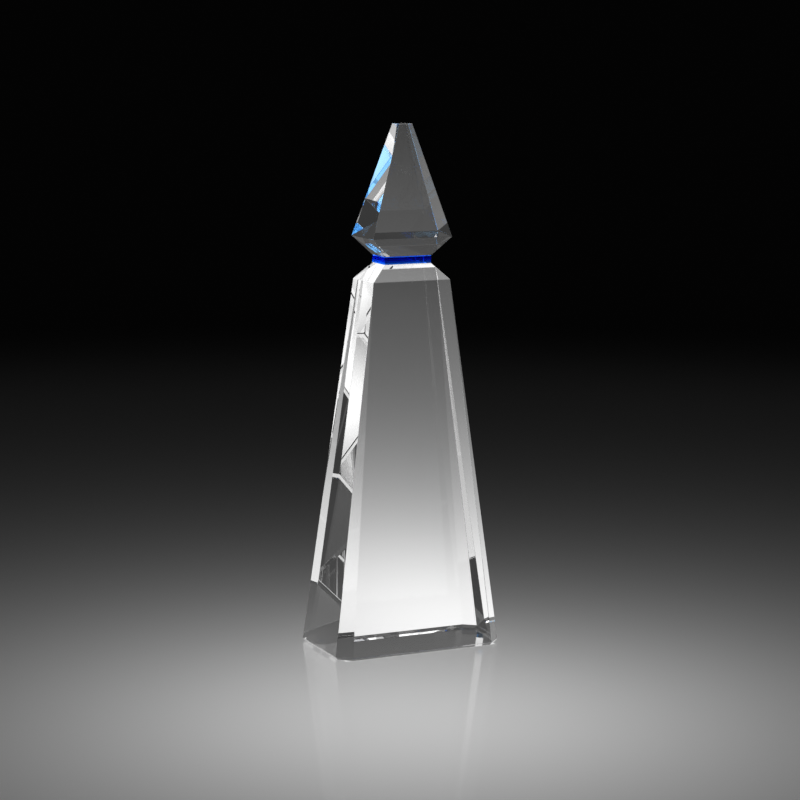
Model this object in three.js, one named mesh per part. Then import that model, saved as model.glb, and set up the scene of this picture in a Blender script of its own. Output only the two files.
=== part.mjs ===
// Crystal obelisk award: a tapered tower of clear optical crystal, a thin blue wafer at its neck
// and a diamond-cut finial, bonded in a stack with two cured adhesive layers.
// Millimetres, +Z up. The origin is the middle of the underside, and the front face looks along -Y.

import * as THREE from 'three';
import { ConvexGeometry } from 'three/addons/geometries/ConvexGeometry.js';

// ---- Driving dimensions -------------------------------------------------------------------

// Footprints are [width along X, depth along Y].
const TOWER_BASE = [105, 64];
const TOWER_SHOULDER = [48.6, 28.3];
const NECK = [29.8, 17.2];
const GIRDLE = [50, 30.2];
const FINIAL_TOP = [8.2, 9.6];

// Heights above the underside.
const SHOULDER_HEIGHT = 215.6;
const NECK_HEIGHT = 224.8;
const TOTAL_HEIGHT = 305;

// Thicknesses in the neck stack.
const WAFER_THICKNESS = 4.5;
const BOND_THICKNESS = 0.15;

// Rise of the finial's undercut, from the neck up to its girdle.
const UNDERCUT_RISE = 10.8;

// The four corner facets are widest at the foot and run out to nothing at the shoulder.
const FOOT_CORNER_LEG = 7.6;

// The ground bevel round the underside, at 45 degrees.
const FOOT_BEVEL = 1.7;

// ---- Derived heights ----------------------------------------------------------------------

const LOWER_BOND_TOP = NECK_HEIGHT + BOND_THICKNESS;
const WAFER_TOP = LOWER_BOND_TOP + WAFER_THICKNESS;
const UPPER_BOND_TOP = WAFER_TOP + BOND_THICKNESS;
const GIRDLE_HEIGHT = UPPER_BOND_TOP + UNDERCUT_RISE;

// ---- Outline helpers ----------------------------------------------------------------------

// The four corners of a footprint at one height.
function rectangleAt([width, depth], z) {
  const x = width / 2;
  const y = depth / 2;
  return [
    new THREE.Vector3(-x, -y, z),
    new THREE.Vector3(x, -y, z),
    new THREE.Vector3(x, y, z),
    new THREE.Vector3(-x, y, z),
  ];
}

// The eight corners of a footprint whose own corners are cut off at 45 degrees.
function cutRectangleAt([width, depth], cornerLeg, z) {
  const x = width / 2;
  const y = depth / 2;
  const points = [];
  for (const sideX of [-1, 1]) {
    for (const sideY of [-1, 1]) {
      points.push(new THREE.Vector3(sideX * (x - cornerLeg), sideY * y, z));
      points.push(new THREE.Vector3(sideX * x, sideY * (y - cornerLeg), z));
    }
  }
  return points;
}

// The tower's footprint part of the way from its foot (0) to its shoulder (1).
function towerFootprint(rise) {
  return TOWER_BASE.map((size, axis) => THREE.MathUtils.lerp(size, TOWER_SHOULDER[axis], rise));
}

// ---- Pieces -------------------------------------------------------------------------------

const crystal = { color: 0xe9eef2, roughness: 0.03, metalness: 0 };
const cobalt = { color: 0x0a1fb4, roughness: 0.04, metalness: 0 };
const adhesive = { color: 0xf4f7f8, roughness: 0.1, metalness: 0 };

// Every cut piece is convex, so it is the hull of its corners.
function cutPiece(name, corners, finish) {
  const mesh = new THREE.Mesh(new ConvexGeometry(corners), new THREE.MeshStandardMaterial(finish));
  mesh.name = name;
  return mesh;
}

// A flat plate with the neck's footprint, resting at the given height.
function neckPlate(name, thickness, underside, finish) {
  const plate = new THREE.BoxGeometry(NECK[0], NECK[1], thickness);
  const mesh = new THREE.Mesh(plate, new THREE.MeshStandardMaterial(finish));
  mesh.name = name;
  mesh.position.z = underside + thickness / 2;
  return mesh;
}

function towerBody() {
  // Moving each side of the foot in by the bevel shortens a 45-degree corner leg by (2 - sqrt 2).
  const undersideLeg = FOOT_CORNER_LEG - FOOT_BEVEL * (2 - Math.SQRT2);
  const underside = TOWER_BASE.map((size) => size - 2 * FOOT_BEVEL);
  const bevelRise = FOOT_BEVEL / SHOULDER_HEIGHT;
  const bevelLeg = FOOT_CORNER_LEG * (1 - bevelRise);
  return cutPiece('tower_body', [
    ...cutRectangleAt(underside, undersideLeg, 0),
    ...cutRectangleAt(towerFootprint(bevelRise), bevelLeg, FOOT_BEVEL),
    ...rectangleAt(TOWER_SHOULDER, SHOULDER_HEIGHT),
    ...rectangleAt(NECK, NECK_HEIGHT),
  ], crystal);
}

function diamondFinial() {
  return cutPiece('diamond_finial', [
    ...rectangleAt(NECK, UPPER_BOND_TOP),
    ...rectangleAt(GIRDLE, GIRDLE_HEIGHT),
    ...rectangleAt(FINIAL_TOP, TOTAL_HEIGHT),
  ], crystal);
}

// ---- Assembly -----------------------------------------------------------------------------

const award = new THREE.Group();
award.add(towerBody());
award.add(neckPlate('lower_bond_layer', BOND_THICKNESS, NECK_HEIGHT, adhesive));
award.add(neckPlate('blue_neck_wafer', WAFER_THICKNESS, LOWER_BOND_TOP, cobalt));
award.add(neckPlate('upper_bond_layer', BOND_THICKNESS, WAFER_TOP, adhesive));
award.add(diamondFinial());

export default award;
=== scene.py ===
"""Crystal obelisk award: polished crystal, a cobalt wafer at the neck and bonded joints."""

import math

import bmesh
import bpy
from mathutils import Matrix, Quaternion, Vector


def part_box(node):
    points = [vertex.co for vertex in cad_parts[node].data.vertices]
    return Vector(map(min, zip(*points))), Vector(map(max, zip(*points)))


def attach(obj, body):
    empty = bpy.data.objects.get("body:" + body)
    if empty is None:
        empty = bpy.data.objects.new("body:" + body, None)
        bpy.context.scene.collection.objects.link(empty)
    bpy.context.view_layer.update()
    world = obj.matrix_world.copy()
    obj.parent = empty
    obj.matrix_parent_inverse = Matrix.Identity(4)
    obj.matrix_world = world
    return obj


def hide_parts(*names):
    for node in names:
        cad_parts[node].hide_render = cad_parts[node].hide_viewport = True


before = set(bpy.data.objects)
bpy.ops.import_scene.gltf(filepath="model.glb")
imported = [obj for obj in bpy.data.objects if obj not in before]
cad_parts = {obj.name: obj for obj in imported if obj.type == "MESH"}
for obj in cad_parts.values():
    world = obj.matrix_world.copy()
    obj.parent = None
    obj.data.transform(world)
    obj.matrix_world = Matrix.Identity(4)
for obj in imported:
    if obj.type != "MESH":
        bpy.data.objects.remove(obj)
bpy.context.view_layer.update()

# ---- Camera ------------------------------------------------------------------------------------

# The lens and sensor are in millimetres, the distances in metres.
CAMERA_AZIMUTH = math.radians(-25.3)
CAMERA_ELEVATION = math.radians(9.15)
CAMERA_ROLL = math.radians(0.25)
CAMERA_DISTANCE = 1.431
CAMERA_LENS = 110.4
CAMERA_SENSOR = 36
CAMERA_CLIP = (0.01, 50)
AIM_HEIGHT = 0.1445
SIDE_SHIFT = -0.0013

# ---- Cut pieces, in metres ---------------------------------------------------------------------

# The narrow flat that the last wheel leaves along an edge. It is wider on the wafer.
ARRIS = 0.00015
WAFER_ARRIS = 0.0003

# Air at each bonded face and under the foot, so that no two faces share a plane.
JOINT_GAP = 0.00002
UNDERSIDE_GAP = 0.0001

# How near counts as the same corner, the same plane and the same height.
MERGE_DISTANCE = 1e-6
FLAT_ANGLE = math.radians(0.5)
HEIGHT_TOLERANCE = 1e-5

# A face counts as level from this share of its normal along Z.
LEVEL = 0.99

# A cut piece's material slots, after the polished finish in slot 0.
GROUND_SLOT = 1
BONDED_SLOT = 2

# ---- Finishes ----------------------------------------------------------------------------------

WHITE = (1, 1, 1, 1)
CRYSTAL_IOR = 1.521
ADHESIVE_IOR = 1.5
ADHESIVE_ROUGHNESS = 0.1

# The least and most roughness of the ground flats, and how many grains there are to a metre.
ARRIS_ROUGHNESS = (0.12, 0.3)
ARRIS_GRAIN = 900

# Cobalt: what its depth absorbs, what its walls tint, and how much light the walls keep in.
COBALT_DENSITY = 210
COBALT_DEPTH = (0, 0.59, 0.955, 1)
COBALT_WALL = (0.01, 0.1, 1, 1)
COBALT_KEPT_IN = 0.7

# ---- Studio ------------------------------------------------------------------------------------

FLOOR_RADIUS = 1.5
FLOOR_FADE_START = 0.9
FLOOR_SEGMENTS = 96
FLOOR_PAINT = (0.82, 0.82, 0.82, 1)
FLOOR_ROUGHNESS = 0.08
FLOOR_SPECULAR = 0.3

# The floor's painted pool of light, given as emission: one pool for the light that goes into the
# award, and another, dimmer one for what the camera sees of the floor.
PAINTED_POOL_FOR_AWARD = dict(centre=(0.05, 0.03, 0), radius=0.185, falloff=1, peak=0.97, edge=0.026)
PAINTED_POOL_FOR_CAMERA = dict(centre=(-0.06, -0.15, 0), radius=0.24, falloff=1.6, peak=0.5, edge=0.002)

# The lit plate under the foot, and its share of the foot's width and depth.
PLATE_LIT = dict(centre=(0, 0, 0), radius=0.05, falloff=1, peak=1.7, edge=0)
PLATE_SHARE = 0.92

# The room's brightness by height, from level (0) to overhead (1), and where it is left dark.
ROOM_BANDS = ((0, 0.045), (0.15, 0.045), (0.27, 0.1), (0.55, 0.042))
ROOM_DARK = (0.001, 0.001, 0.001, 1)

# The room shows only to light that has crossed more surfaces than this.
DARK_DEPTH = 2.5

# How often light may bounce in all, and off or through any one kind of surface.
BOUNCES = 32
BOUNCES_OF_A_KIND = 24


def camera():
    """A long lens that looks down a little on the left front corner."""
    data = bpy.data.cameras.new("camera")
    data.lens = CAMERA_LENS
    data.sensor_width = CAMERA_SENSOR
    data.shift_x = SIDE_SHIFT
    data.clip_start, data.clip_end = CAMERA_CLIP
    back = Vector((
        math.sin(CAMERA_AZIMUTH) * math.cos(CAMERA_ELEVATION),
        -math.cos(CAMERA_AZIMUTH) * math.cos(CAMERA_ELEVATION),
        math.sin(CAMERA_ELEVATION),
    ))
    eye = bpy.data.objects.new("camera", data)
    eye.location = Vector((0, 0, AIM_HEIGHT)) + back * CAMERA_DISTANCE
    eye.rotation_mode = "QUATERNION"
    roll = Quaternion((0, 0, 1), CAMERA_ROLL)
    eye.rotation_quaternion = back.to_track_quat("Z", "Y") @ roll
    bpy.context.scene.collection.objects.link(eye)
    bpy.context.scene.camera = eye


# ---- Nodes -------------------------------------------------------------------------------------


def node_material(name):
    """An empty node material, its tree and its output."""
    material = bpy.data.materials.new(name)
    material.use_nodes = True
    material.node_tree.nodes.clear()
    output = material.node_tree.nodes.new("ShaderNodeOutputMaterial")
    return material, material.node_tree, output


def calculate(tree, operation, first, second):
    """A Math node's result, from two numbers or sockets."""
    node = tree.nodes.new("ShaderNodeMath")
    node.operation = operation
    for socket, value in zip(node.inputs, (first, second)):
        if isinstance(value, (int, float)):
            socket.default_value = value
        else:
            tree.links.new(value, socket)
    return node.outputs[0]


def mixed(tree, share, first, second):
    """A mix of two shaders, with the given share of the second."""
    mix = tree.nodes.new("ShaderNodeMixShader")
    tree.links.new(share, mix.inputs[0])
    tree.links.new(first.outputs[0], mix.inputs[1])
    tree.links.new(second.outputs[0], mix.inputs[2])
    return mix


def glass(tree, color):
    """Clear glass, smooth and as dense as the crystal until its finish says otherwise."""
    shader = tree.nodes.new("ShaderNodeBsdfPrincipled")
    shader.inputs["Base Color"].default_value = color
    shader.inputs["Transmission Weight"].default_value = 1
    shader.inputs["IOR"].default_value = CRYSTAL_IOR
    shader.inputs["Roughness"].default_value = 0
    return shader


def straight_through(tree):
    """A surface that leaves light as it is."""
    shader = tree.nodes.new("ShaderNodeBsdfTransparent")
    shader.inputs["Color"].default_value = WHITE
    return shader


def pool_of_light(tree, centre, radius, falloff, peak, edge):
    """A surface's glow, highest at the centre and fading outwards: on the floor a painted pool of
    light, on the plate the lamp's own falloff.
    """
    where = tree.nodes.new("ShaderNodeTexCoord")
    distance = tree.nodes.new("ShaderNodeVectorMath")
    distance.operation = "DISTANCE"
    distance.inputs[1].default_value = centre
    tree.links.new(where.outputs["Object"], distance.inputs[0])
    ratio = calculate(tree, "DIVIDE", distance.outputs["Value"], radius)
    spread = calculate(tree, "ADD", calculate(tree, "MULTIPLY", ratio, ratio), 1)
    faded = calculate(tree, "DIVIDE", peak, calculate(tree, "POWER", spread, falloff))
    return calculate(tree, "ADD", faded, edge)


# ---- Finishes of the cut pieces ----------------------------------------------------------------


def clear_crystal():
    """Polished colourless crystal."""
    material, tree, output = node_material("clear_crystal")
    tree.links.new(glass(tree, WHITE).outputs[0], output.inputs["Surface"])
    return material


def ground_arris():
    """The fine-ground flats along the edges, with the uneven grain that the wheel leaves."""
    material, tree, output = node_material("ground_arris")
    shader = glass(tree, WHITE)
    where = tree.nodes.new("ShaderNodeTexCoord")
    grain = tree.nodes.new("ShaderNodeTexNoise")
    grain.inputs["Scale"].default_value = ARRIS_GRAIN
    tree.links.new(where.outputs["Object"], grain.inputs["Vector"])
    uneven = tree.nodes.new("ShaderNodeMapRange")
    uneven.inputs["To Min"].default_value, uneven.inputs["To Max"].default_value = ARRIS_ROUGHNESS
    tree.links.new(grain.outputs["Fac"], uneven.inputs["Value"])
    tree.links.new(uneven.outputs[0], shader.inputs["Roughness"])
    tree.links.new(shader.outputs[0], output.inputs["Surface"])
    return material


def cured_adhesive():
    """The rim of an adhesive film, which is all of it that meets the air."""
    material, tree, output = node_material("cured_adhesive")
    shader = glass(tree, WHITE)
    shader.inputs["IOR"].default_value = ADHESIVE_IOR
    shader.inputs["Roughness"].default_value = ADHESIVE_ROUGHNESS
    tree.links.new(shader.outputs[0], output.inputs["Surface"])
    return material


def bonded_face():
    """Where adhesive joins two crystals, light goes straight on."""
    material, tree, output = node_material("bonded_face")
    tree.links.new(straight_through(tree).outputs[0], output.inputs["Surface"])
    return material


def cobalt_crystal():
    """Blue crystal: its walls keep much of the light in, and its bonded faces let it through."""
    material, tree, output = node_material("cobalt_crystal")
    face = tree.nodes.new("ShaderNodeNewGeometry")
    polished = glass(tree, COBALT_WALL)
    mirror = tree.nodes.new("ShaderNodeBsdfGlossy")
    mirror.inputs["Color"].default_value = WHITE
    mirror.inputs["Roughness"].default_value = 0
    kept_in = calculate(tree, "MULTIPLY", face.outputs["Backfacing"], COBALT_KEPT_IN)
    wall = mixed(tree, kept_in, polished, mirror)
    normal = tree.nodes.new("ShaderNodeSeparateXYZ")
    tree.links.new(face.outputs["True Normal"], normal.inputs[0])
    steepness = calculate(tree, "ABSOLUTE", normal.outputs["Z"], 0)
    bonded = calculate(tree, "GREATER_THAN", steepness, LEVEL)
    surface = mixed(tree, bonded, wall, straight_through(tree))
    tree.links.new(surface.outputs[0], output.inputs["Surface"])
    depth = tree.nodes.new("ShaderNodeVolumeAbsorption")
    depth.inputs["Color"].default_value = COBALT_DEPTH
    depth.inputs["Density"].default_value = COBALT_DENSITY
    tree.links.new(depth.outputs[0], output.inputs["Volume"])
    return material


# ---- Cut pieces --------------------------------------------------------------------------------


def at_a_joint(part, heights):
    """Whether an edge or face lies wholly at one of the given heights."""
    return any(
        all(abs(corner.co.z - height) < HEIGHT_TOLERANCE for corner in part.verts)
        for height in heights
    )


def cut_from(node, name, finishes, joints, arris=ARRIS):
    """A cut piece from its node's solid, with ground edges and with its bonded faces marked.

    The finishes are those of the polished faces, the ground edges and the bonded faces.
    """
    shape = bmesh.new()
    shape.from_mesh(bpy.data.objects[node].data)
    bmesh.ops.remove_doubles(shape, verts=shape.verts, dist=MERGE_DISTANCE)
    bmesh.ops.dissolve_limit(
        shape, angle_limit=FLAT_ANGLE, verts=shape.verts, edges=shape.edges
    )
    free_edges = [edge for edge in shape.edges if not at_a_joint(edge, joints)]
    bmesh.ops.bevel(
        shape, geom=free_edges, offset=arris, segments=1, affect="EDGES", material=GROUND_SLOT
    )
    shape.normal_update()
    for face in shape.faces:
        face.smooth = False
        if abs(face.normal.z) > LEVEL and at_a_joint(face, joints):
            face.material_index = BONDED_SLOT
            inward = -JOINT_GAP if face.normal.z > 0 else JOINT_GAP
            for corner in face.verts:
                corner.co.z += inward
    mesh = bpy.data.meshes.new(name)
    for finish in finishes:
        mesh.materials.append(finish)
    shape.to_mesh(mesh)
    shape.free()
    piece = bpy.data.objects.new(name, mesh)
    bpy.context.scene.collection.objects.link(piece)
    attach(piece, "root")
    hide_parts(node)


def award():
    """The tower, the wafer and the finial, with a film of adhesive above and below the wafer."""
    joints = [
        corner[2]
        for film in ("lower_bond_layer", "upper_bond_layer")
        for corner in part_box(film)
    ]
    bonded = bonded_face()
    clear = [clear_crystal(), ground_arris(), bonded]
    cobalt = [cobalt_crystal()] * 3
    film = [cured_adhesive()] * 2 + [bonded]
    cut_from("tower_body", "tower", clear, joints)
    # The wafer's top edges are ground as well, so it only has the joint below it.
    below = joints[:2]
    cut_from("blue_neck_wafer", "neck_wafer", cobalt, below, WAFER_ARRIS)
    cut_from("diamond_finial", "finial", clear, joints)
    cut_from("lower_bond_layer", "lower_bond_film", film, joints)
    cut_from("upper_bond_layer", "upper_bond_film", film, joints)


# ---- Studio ------------------------------------------------------------------------------------


def stage_piece(name, shape, height):
    """A piece of the stage, at a height below the award's underside."""
    mesh = bpy.data.meshes.new(name)
    shape.to_mesh(mesh)
    shape.free()
    piece = bpy.data.objects.new(name, mesh)
    piece.location.z = height
    bpy.context.scene.collection.objects.link(piece)
    material, tree, output = node_material(name)
    mesh.materials.append(material)
    return tree, output


def floor():
    """A pale floor with a painted pool of light: it glows brightest near the award, shows the
    camera a different painted pool from the one that lights the award, and fades out into the
    dark room.
    """
    shape = bmesh.new()
    bmesh.ops.create_circle(shape, cap_ends=True, radius=FLOOR_RADIUS, segments=FLOOR_SEGMENTS)
    tree, output = stage_piece("floor", shape, -UNDERSIDE_GAP)
    # The camera sees one painted pool of light on the floor, and all other rays see another.
    path = tree.nodes.new("ShaderNodeLightPath")
    painted_pool = tree.nodes.new("ShaderNodeMix")
    tree.links.new(path.outputs["Is Camera Ray"], painted_pool.inputs["Factor"])
    tree.links.new(pool_of_light(tree, **PAINTED_POOL_FOR_AWARD), painted_pool.inputs["A"])
    tree.links.new(pool_of_light(tree, **PAINTED_POOL_FOR_CAMERA), painted_pool.inputs["B"])
    paint = tree.nodes.new("ShaderNodeBsdfPrincipled")
    paint.inputs["Base Color"].default_value = FLOOR_PAINT
    paint.inputs["Roughness"].default_value = FLOOR_ROUGHNESS
    paint.inputs["Specular IOR Level"].default_value = FLOOR_SPECULAR
    # The painted pool of light goes in as the floor's emission.
    paint.inputs["Emission Color"].default_value = WHITE
    tree.links.new(painted_pool.outputs[0], paint.inputs["Emission Strength"])
    where = tree.nodes.new("ShaderNodeTexCoord")
    radius = tree.nodes.new("ShaderNodeVectorMath")
    radius.operation = "LENGTH"
    tree.links.new(where.outputs["Object"], radius.inputs[0])
    fade = tree.nodes.new("ShaderNodeMapRange")
    fade.interpolation_type = "SMOOTHSTEP"
    fade.inputs["From Min"].default_value = FLOOR_FADE_START
    fade.inputs["From Max"].default_value = FLOOR_RADIUS
    tree.links.new(radius.outputs["Value"], fade.inputs["Value"])
    surface = mixed(tree, fade.outputs[0], paint, straight_through(tree))
    tree.links.new(surface.outputs[0], output.inputs["Surface"])


def light_plate():
    """A lit plate let into the floor, hidden by the award's foot."""
    low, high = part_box("tower_body")
    x, y = (PLATE_SHARE * (high[axis] - low[axis]) / 2 for axis in (0, 1))
    shape = bmesh.new()
    corners = ((-x, -y, 0), (x, -y, 0), (x, y, 0), (-x, y, 0))
    shape.faces.new([shape.verts.new(corner) for corner in corners])
    tree, output = stage_piece("light_plate", shape, -UNDERSIDE_GAP / 2)
    lamp = tree.nodes.new("ShaderNodeEmission")
    tree.links.new(pool_of_light(tree, **PLATE_LIT), lamp.inputs["Strength"])
    tree.links.new(lamp.outputs[0], output.inputs["Surface"])


def room():
    """Soft bands of light that only show inside the crystal: the room itself is left dark."""
    world = bpy.data.worlds.new("room")
    bpy.context.scene.world = world
    world.use_nodes = True
    tree = world.node_tree
    tree.nodes.clear()
    output = tree.nodes.new("ShaderNodeOutputWorld")
    where = tree.nodes.new("ShaderNodeTexCoord")
    direction = tree.nodes.new("ShaderNodeSeparateXYZ")
    tree.links.new(where.outputs["Generated"], direction.inputs[0])
    bands = tree.nodes.new("ShaderNodeValToRGB")
    while len(bands.color_ramp.elements) < len(ROOM_BANDS):
        bands.color_ramp.elements.new(1)
    for stop, (height, level) in zip(bands.color_ramp.elements, ROOM_BANDS):
        stop.position = height
        stop.color = (level, level, level, 1)
    tree.links.new(direction.outputs["Z"], bands.inputs[0])
    lit = tree.nodes.new("ShaderNodeBackground")
    tree.links.new(bands.outputs["Color"], lit.inputs["Color"])
    dark = tree.nodes.new("ShaderNodeBackground")
    dark.inputs["Color"].default_value = ROOM_DARK
    path = tree.nodes.new("ShaderNodeLightPath")
    direct = calculate(tree, "LESS_THAN", path.outputs["Ray Depth"], DARK_DEPTH)
    unlit = calculate(tree, "MAXIMUM", direct, path.outputs["Is Diffuse Ray"])
    surface = mixed(tree, unlit, lit, dark)
    tree.links.new(surface.outputs[0], output.inputs["Surface"])


def light_transport():
    """Enough bounces for light to find its way out of the crystal, and plain colours."""
    scene = bpy.context.scene
    scene.view_settings.view_transform = "Standard"
    scene.cycles.max_bounces = BOUNCES
    scene.cycles.glossy_bounces = BOUNCES_OF_A_KIND
    scene.cycles.transmission_bounces = BOUNCES_OF_A_KIND
    scene.cycles.transparent_max_bounces = BOUNCES_OF_A_KIND


camera()
award()
floor()
light_plate()
room()
light_transport()
